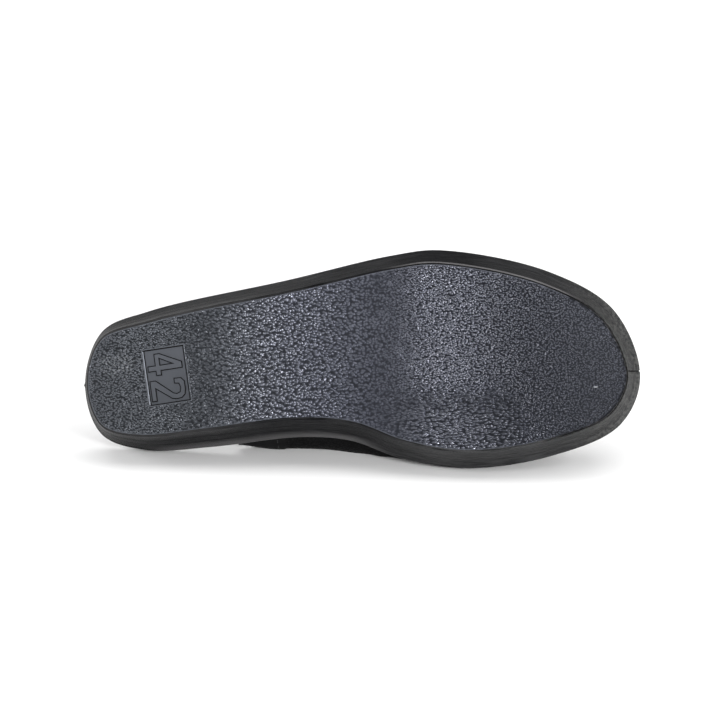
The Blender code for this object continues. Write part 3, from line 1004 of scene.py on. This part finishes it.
TREAD = tread_material()
# The edge finish: near-black painted shade on the digits' sides, the sunk field's drops and the parting cut
EDGE = plain_material(EDGE_SHADE_FINISH)
TREAD_SLOT = 0
WALL_SLOT = 1
EDGE_SHADE_SLOT = 2


def side_rows():
    """Rings of the outsole's side from the tread field up and over the lip into the cup."""
    rows = []
    first = SIDE_PLACES.index("wall foot")
    last = SIDE_PLACES.index("upper bead")
    cut = PARTING_DEPTH * np.exp(-((FROM_TIP - PARTING_FROM_TIP) / PARTING_WIDTH) ** 2)
    nib = NIB_HEIGHT * np.exp(-(FROM_HEEL / NIB_WIDTH) ** 2)
    for index, row in enumerate(SIDE):
        def height(x, row=row):
            lift = row.lift
            if row.place.startswith("groove"):
                lift = SIDE_GROOVE + (TOE_GROOVE - SIDE_GROOVE) * fade(x, TOE_GROOVE_FADES)
            return tread_height(x) + row.share * (rim_height(x) - tread_height(x)) + lift
        points = ring(row.inset * FLARING if row.share < 1.0 else row.inset, height)
        if first <= index <= last:
            points[:, :2] += INWARD * cut[:, None]
        if row.place == "lower bead":
            points[:, :2] -= INWARD * nib[:, None]
        rows.append(points)
    return rounded(rows, CORNER_REACH, CORNER_STEPS)


def recess_axes():
    along = Vector((math.cos(RECESS_TURN), math.sin(RECESS_TURN)))
    return along, Vector((-along.y, along.x))


def cut_recess(mesh, grain):
    """Sink a smooth field with crisp edges into the heel's tread."""
    along, across = recess_axes()
    sides = ((-along, RECESS_ALONG / 2, HEEL_BRINK), (along, RECESS_ALONG / 2, PLAIN_BRINK),
             (-across, RECESS_ACROSS / 2, PLAIN_BRINK), (across, RECESS_ACROSS / 2, PLAIN_BRINK))

    def insets(point):
        offset = point.xy / MM - RECESS_CENTRE
        return [half - offset.dot(axis) for axis, half, _ in sides]

    def near_faces():
        return [face for face in mesh.faces if face.material_index == TREAD_SLOT
                and (face.verts[0].co.xy / MM - RECESS_CENTRE).length < RECESS_ACROSS]

    for axis, half, brink in sides:
        for inset in (-RECESS_FRAME, *(row.inset for row in brink)):
            spot = (RECESS_CENTRE + axis * (half - inset)) * MM
            faces = near_faces()
            edges = {edge for face in faces for edge in face.edges}
            verts = {vertex for face in faces for vertex in face.verts}
            bmesh.ops.bisect_plane(mesh, geom=[*faces, *edges, *verts], dist=CUT_DISTANCE,
                                   plane_co=spot.to_3d(), plane_no=axis.to_3d())
    slopes = [column(brink, "depth", "inset") for _, _, brink in sides]
    for vertex in {vertex for face in near_faces() for vertex in face.verts}:
        places = insets(vertex.co)
        if min(places) > -RECESS_FRAME - SLACK:
            depth = min(slope(place) for slope, place in zip(slopes, places))
            vertex[grain] = 0.0
            vertex.co.z += (GRAIN_DEPTH * GRAIN_MIDDLE + depth) * MM
    # The drops of the sunk field take the edge finish, a painted shade
    for face in near_faces():
        places = insets(face.calc_center_median())
        drops = [brink[-2].inset < place < brink[-1].inset for place, (_, _, brink) in zip(places, sides)]
        if min(places) > 0 and any(drops):
            face.material_index = EDGE_SHADE_SLOT


def press_grain(piece):
    """Press the grain into the tread's own shape."""
    tree = bpy.data.node_groups.new("grain", "GeometryNodeTree")
    tree.interface.new_socket("Geometry", in_out="INPUT", socket_type="NodeSocketGeometry")
    tree.interface.new_socket("Geometry", in_out="OUTPUT", socket_type="NodeSocketGeometry")
    place = source(tree, "GeometryNodeInputPosition").outputs[0]
    spot = vector("MULTIPLY", place, (1.0 / MM,) * 3)
    named = source(tree, "GeometryNodeInputNamedAttribute", data_type="FLOAT")
    connect(named, {"Name": "grain"})
    cut = times(calc("SUBTRACT", 1.0, grain_height(spot)[0]), named.outputs["Attribute"])
    offset = node("ShaderNodeCombineXYZ", {"Z": times(cut, GRAIN_DEPTH * MM)}).outputs[0]
    smooth = source(tree, "NodeGroupInput").outputs[0]
    moved = node("GeometryNodeSetPosition", {"Geometry": smooth, "Offset": offset}).outputs[0]
    node("NodeGroupOutput", {0: moved})
    piece.modifiers.new("grain", "NODES").node_group = tree
    keep_shape(piece)


def place_rows(rows, first, last):
    """Of the rounded rows, those that belong to the side's places from first to last."""
    start = (SIDE_PLACES.index(first) - 1) * CORNER_STEPS + 1
    end = SIDE_PLACES.index(last) * CORNER_STEPS + 1
    return rows[start:end]


def painted_light_rows(rows):
    """Rows of the wall painted lighter, a painted highlight, and how much at each of their points."""
    x = RIM[:, 0]
    outer_front = fade(x, BEAD_HIGHLIGHT_STARTS) * (1 - fade(x, BEAD_HIGHLIGHT_FADES)) * (INWARD[:, 1] > 0)
    inner_waist = fade(x, RIM_HIGHLIGHT_STARTS) * (1 - fade(x, RIM_HIGHLIGHT_FADES)) * (INWARD[:, 1] < 0)
    heel = (1 - fade(x, HEEL_FOOT_LIGHT_FADES)) * HEEL_FOOT_LIGHT_AMOUNT
    return ((place_rows(rows, "groove inner", "wall foot"), heel),
            (place_rows(rows, "tread bead inner", "tread bead outer"), np.maximum(heel, outer_front)),
            (place_rows(rows, "lower bead under", "upper bead"), inner_waist * RIM_HIGHLIGHT_AMOUNT))


def make_outsole():
    """The sole: grained tread with its sunk field, ribbed wall, beads, lip and cup."""
    mesh = bmesh.new()
    names = ("grain", "level", "bead", "brim")
    grain, level, bead, brim = [mesh.verts.layers.float.new(name) for name in names]
    points = side_rows()
    rows = add_rows(mesh, points)
    climbed = np.zeros(len(RIM))
    for row, low, high in zip(rows[1:], points, points[1:]):
        climbed += np.linalg.norm(high - low, axis=1)
        for vertex, distance in zip(row, climbed):
            vertex[level] = distance
    in_cut = np.abs(FROM_TIP - PARTING_FROM_TIP) < PARTING_WIDTH + SLACK
    parted = {vertex for row in place_rows(rows, "wall foot", "upper bead")
              for vertex, inside in zip(row, in_cut) if inside}
    # The parting cut takes the edge finish, a painted shade; the rest of the side takes the wall's
    for face in mesh.faces:
        face.material_index = EDGE_SHADE_SLOT if parted.issuperset(face.verts) else WALL_SLOT
    # Painted light on the wall's lighter rows
    for chosen, amounts in painted_light_rows(rows):
        for row in chosen:
            for vertex, amount in zip(row, amounts):
                vertex[bead] = amount
    groove = search_tree([vertex.co for vertex in rows[0]])
    for face in even_fill(mesh, rows[0], TREAD_CELL, lambda x, y: tread_height(x)):
        face.material_index = TREAD_SLOT
        for vertex in face.verts:
            vertex[grain] = 1.0
            # Painted shade of the toe groove on the tread beside it
            near = 1 - fade(groove.find(vertex.co)[2] / MM, TOE_GROOVE_SHADE)
            vertex[brim] = near * fade(vertex.co.x / MM, TOE_GROOVE_FADES)
    for vertex in rows[0]:
        vertex[grain] = 0.0
    for face in even_fill(mesh, rows[-1], CUP_CELL, lambda x, y: cup_height(x)):
        face.material_index = WALL_SLOT
    cut_recess(mesh, grain)
    piece = add_piece("outsole_body", mesh, (TREAD, wall_material(), EDGE))
    press_grain(piece)
    lay_down(piece, "outsole")


def make_digits():
    """The raised size number in the sunk field: two block digits that read across the heel."""
    outline = bpy.data.curves.new("digits", "CURVE")
    outline.dimensions = "2D"
    outline.fill_mode = "BOTH"
    outline.extrude = DIGIT_HEIGHT * MM
    outline.bevel_depth = DIGIT_BEVEL * MM
    outline.bevel_resolution = 0
    outline.offset = -DIGIT_BEVEL * MM
    along, across = recess_axes()
    corner = RECESS_CENTRE - along * (RECESS_ALONG / 2) - across * (RECESS_ACROSS / 2)
    for points in (FOUR, FOUR_EYE, TWO):
        line = outline.splines.new("POLY")
        line.points.add(len(points) - 1)
        line.use_cyclic_u = True
        for point, (u, v) in zip(line.points, points):
            point.co = (*((corner + across * u + along * v) * MM), 0.0, 1.0)
    shape = add_object("digits", outline)
    data = shown_mesh(shape)
    bpy.data.objects.remove(shape)
    mesh = bmesh.new()
    mesh.from_mesh(data)
    bmesh.ops.remove_doubles(mesh, verts=mesh.verts, dist=MERGE_DISTANCE)
    middle = RECESS_DEPTH + DIGIT_BEVEL
    bmesh.ops.translate(mesh, verts=mesh.verts, vec=(0.0, 0.0, middle * MM))
    mesh.normal_update()
    # The digits' sides take the edge finish, a painted shade; their tops take the tread's
    for face in mesh.faces:
        face.material_index = int(abs(face.normal.z) < LEVEL_FACE)
    lay_down(add_piece("size_digits", mesh, (TREAD, EDGE)))


# Footbed

def insole_inset(x):
    beside_lip = LIP_WIDTH + GAP
    beside_upper = UPPER_INSET + GAP
    return beside_lip + (beside_upper - beside_lip) * fade(x, INSOLE_NARROWS)


def make_footbed():
    """The padded insole: rounded edge, dished heel and a textile cover."""
    def bottom(x):
        return cup_height(x) + GAP

    def top(x):
        return bottom(x) + INSOLE_THICKNESS

    def dished(x, y):
        outer = np.interp(x, OUTER.points[:, 0], OUTER.points[:, 1]) + insole_inset(x)
        inner = np.interp(x, INNER.points[:, 0], INNER.points[:, 1]) - insole_inset(x)
        share = np.clip((y - outer) / (inner - outer), 0.0, 1.0)
        return top(x) - HEEL_DISH * (1 - fade(x, DISH_FADES)) * 4 * share * (1 - share)

    rows = [ring(insole_inset, bottom)]
    for angle in np.linspace(0.0, math.pi / 2, FOOTBED_EDGE_STEPS):
        def inset(x, angle=angle):
            return insole_inset(x) + INSOLE_ROUND * (1 - math.cos(angle))

        def height(x, angle=angle):
            return top(x) - INSOLE_ROUND * (1 - math.sin(angle))
        rows.append(ring(inset, height))
    mesh = bmesh.new()
    made = add_rows(mesh, rows)
    even_fill(mesh, made[0], CUP_CELL, lambda x, y: bottom(x))
    even_fill(mesh, made[-1], FOOTBED_CELL, dished)
    piece = add_piece("footbed", mesh, (textile_material(FOOTBED_TEXTILE),))
    lay_down(piece, "insole")


# Upper

def upper_section(rim, name, share):
    """Lining points of one section of the upper, from its foot inside the lip up to the crest."""
    start = rim.share_at(TOPLINE_X)
    place = start + (1 - start) * share
    outward = -rim.inward(place)
    foot = rim.at(place) - outward * UPPER_INSET
    bulge = outward * column(FLANK, name + "_bulge", "share")(share)
    rise = column(FLANK, "rise", "share")(share)
    lip = rim_height(foot[0]) + LIP_CLEARANCE
    under = cup_height(foot[0]) + GAP
    shoulder = np.array([*(foot + bulge), lip + rise])
    crest = np.array([column(CREST, axis, "share")(share) for axis in "xyz"])
    points = [np.array([*foot, z]) for z in np.linspace(under, lip, FOOT_ROWS)]
    for up in np.linspace(0.0, 1.0, KNEE_ROWS + 1)[1:-1]:
        points.append(np.array([*(foot + bulge * (1 - (1 - up) ** 2)), lip + rise * up]))
    slack = column(FLANK, name + "_slack", "share")(share)
    slant = fade(share, SLANT_FADES)
    for k in range(CROWN_ROWS + 1):
        angle = math.pi / 2 * k / CROWN_ROWS
        across = 1 - math.cos(angle)
        up = math.sin(angle) ** slack
        along = (1 - slant) * up ** TOPLINE_SWEEP + slant * across
        points.append(shoulder + (crest - shoulder) * np.array([along, across, up]))
    return points


# The upper's materials: the wall's inside takes the next one up from its outside
LEATHER_SLOT = 0
LINING_SLOT = 1
BINDING_SLOT = 2
INSIDE_SLOTS = (LINING_SLOT, BINDING_SLOT + LINING_SLOT)


def crease_depth(x, y):
    """How far the creases press the vamp in at a place in plan; less than 0 on their ridges."""
    depth = 0.0
    for crease in CREASES:
        aside = y - CREASE_MIDDLE
        away = (x - crease.x + crease.bow * aside ** 2) / crease.width
        ends = 1 - fade(abs(aside), (crease.reach * CREASE_CORE, crease.reach))
        trough = math.exp(-away ** 2)
        ridges = math.exp(-(away - RIDGE_AWAY) ** 2) + math.exp(-(away + RIDGE_AWAY) ** 2)
        depth += crease.depth * ends * (trough - CREASE_RIDGE * ridges)
    return depth


def make_upper():
    """The vamp: lining, leather outside and a smooth binding along the top line, with soft creases."""
    even = np.linspace(0.0, 1.0, UPPER_STATIONS + 1)
    plain = BINDING_SHARE + BINDING_EDGE
    beyond = plain + (1 - plain) * (1 - (1 - even) ** TOE_CROWDING)
    shares = [*np.linspace(0.0, BINDING_SHARE, BINDING_STATIONS + 1), *beyond]
    mesh = bmesh.new()
    weights = mesh.verts.layers.deform.verify()
    crest = []

    def add_section(rim, name, share, top=None):
        points = upper_section(rim, name, share)
        row = [mesh.verts.new(Vector(point) * MM) for point in points[:-1]]
        row.append(top or mesh.verts.new(Vector(points[-1]) * MM))
        for vertex in row:
            vertex[weights][0] = 1.0 if share <= BINDING_SHARE else WALL / (WALL + BINDING_STEP)
        return row

    sections = []
    for share in shares:
        sections.append(add_section(OUTER, "outer", share))
        crest.append(sections[-1][-1])
    for share, top in list(zip(shares, crest))[-2::-1]:
        sections.append(add_section(INNER, "inner", share, top))
    bands = [*range(len(shares) - 1), *range(len(shares) - 2, -1, -1)]
    for band, row, following in zip(bands, sections, sections[1:]):
        for k in range(len(row) - 1):
            corners = (row[k], following[k], following[k + 1], row[k + 1])
            face = mesh.faces.new(list(dict.fromkeys(corners)))
            face.material_index = BINDING_SLOT if band <= BINDING_STATIONS else LEATHER_SLOT
    lining = textile_material(LINING_TEXTILE)
    leather = leather_material()
    binding = plain_material(BINDING_FINISH)
    piece = add_piece("vamp_shell", mesh, (leather, lining, binding, binding))
    piece.vertex_groups.new(name="wall")
    shell = piece.modifiers.new("wall", "SOLIDIFY")
    shell.thickness = (WALL + BINDING_STEP) * MM
    shell.offset = 1.0
    shell.vertex_group = "wall"
    shell.material_offset = LINING_SLOT
    keep_shape(piece)

    def vertices(slots):
        faces = [face for face in piece.data.polygons if face.material_index in slots]
        found = {index for face in faces for index in face.vertices}
        return [piece.data.vertices[index] for index in found]

    for vertex in vertices((LEATHER_SLOT,)):
        depth = crease_depth(vertex.co.x / MM, vertex.co.y / MM)
        vertex.co -= vertex.normal * (depth * max(vertex.normal.z, 0.0) * MM)
    lay_down(piece, "upper")
    for vertex in vertices(INSIDE_SLOTS):
        vertex.co.z = max(vertex.co.z, PRESSED_WALL * MM)


def binding_line():
    """Points and normals of the stitch row on the binding's outside, from one foot over the crest."""
    line = []
    for rim, name in ((OUTER, "outer"), (INNER, "inner")):
        rows = [np.array(upper_section(rim, name, share))[FOOT_ROWS:]
                for share in (STITCH_SHARE - STITCH_STEP, STITCH_SHARE, STITCH_SHARE + STITCH_STEP)]
        forward = rows[2] - rows[0]
        up = np.gradient(rows[1], axis=0)
        normal = np.cross(up, forward) if name == "inner" else np.cross(forward, up)
        normal /= np.linalg.norm(normal, axis=1)[:, None]
        side = np.hstack([rows[1] + normal * (WALL + BINDING_STEP), normal])
        line.append(side if name == "outer" else side[-2::-1])
    return np.vstack(line)


def make_stitches():
    """Even stitches along the binding, each a thread that dips at both ends."""
    line = binding_line()
    run = np.concatenate([[0.0], np.cumsum(np.linalg.norm(np.diff(line[:, :3], axis=0), axis=1))])

    def at(distance):
        values = np.array([np.interp(distance, run, value) for value in line.T])
        return values[:3], values[3:] / np.linalg.norm(values[3:])

    mesh = bmesh.new()
    for start in np.arange(STITCH_PITCH, run[-1] - STITCH_PITCH, STITCH_PITCH):
        rings = []
        for share in np.linspace(0.0, 1.0, STITCH_RINGS):
            spot, normal = at(start + share * STITCH_LENGTH)
            ahead = at(start + share * STITCH_LENGTH + STITCH_AHEAD)[0] - spot
            ahead /= np.linalg.norm(ahead)
            side = np.cross(normal, ahead)
            arch = math.sin(math.pi * share)
            centre = spot + normal * STITCH_RADIUS * (STITCH_RISE * arch - STITCH_DIP)
            radius = STITCH_RADIUS * (STITCH_THIN + (1 - STITCH_THIN) * arch)
            turns = np.arange(STITCH_SIDES) * 2 * math.pi / STITCH_SIDES
            rings.append([centre + radius * (math.cos(a) * side + math.sin(a) * normal) for a in turns])
        made = add_rows(mesh, rings)
        mesh.faces.new(made[0][::-1])
        mesh.faces.new(made[-1])
    lay_down(add_piece("binding_stitches", mesh, (thread_material(),)))


# Stage, light and camera

def around(azimuth, elevation, distance, centre):
    """A place around a point: azimuth 0 faces the tread and grows to the right."""
    flat = math.cos(elevation)
    away = Vector((math.sin(azimuth) * flat, -math.cos(azimuth) * flat, math.sin(elevation)))
    return centre + away * distance


def face_towards(thing, spot, target):
    thing.location = spot
    thing.rotation_euler = (target - spot).to_track_quat("-Z", "Y").to_euler()


def make_stage(centre):
    """The floor, the soft lights round it and an even white surround."""
    mesh = bmesh.new()
    bmesh.ops.create_grid(mesh, x_segments=FLOOR_FACES, y_segments=FLOOR_FACES, size=FLOOR_SIZE / 2)
    floor = add_object("studio_floor", finished_mesh("studio_floor", mesh, (plain_material(FLOOR_FINISH),)))
    for box in SOFTBOXES:
        light = bpy.data.lights.new("softbox_" + box.name, "AREA")
        light.shape = "RECTANGLE"
        light.size = box.wide
        light.size_y = box.high
        light.energy = box.power
        spot = around(math.radians(box.azimuth), math.radians(box.elevation), box.distance, centre)
        face_towards(add_object(light.name, light), spot, centre)
    world = bpy.data.worlds.new("studio")
    world.use_nodes = True
    connect(world.node_tree.nodes["Background"], {"Color": WHITE, "Strength": WORLD_STRENGTH})
    bpy.context.scene.world = world
    bpy.context.scene.view_settings.view_transform = "Standard"


def make_camera(centre):
    """The camera, looking at the middle of the tread."""
    data = bpy.data.cameras.new("camera")
    data.lens = CAMERA_LENS
    camera = add_object("camera", data)
    face_towards(camera, around(CAMERA_AZIMUTH, CAMERA_ELEVATION, CAMERA_DISTANCE, centre), centre)
    bpy.context.scene.camera = camera


aim = LAID @ (CAMERA_AIM * MM)
make_camera(aim)
make_stage(aim)
make_outsole()
make_digits()
make_footbed()
make_upper()
make_stitches()
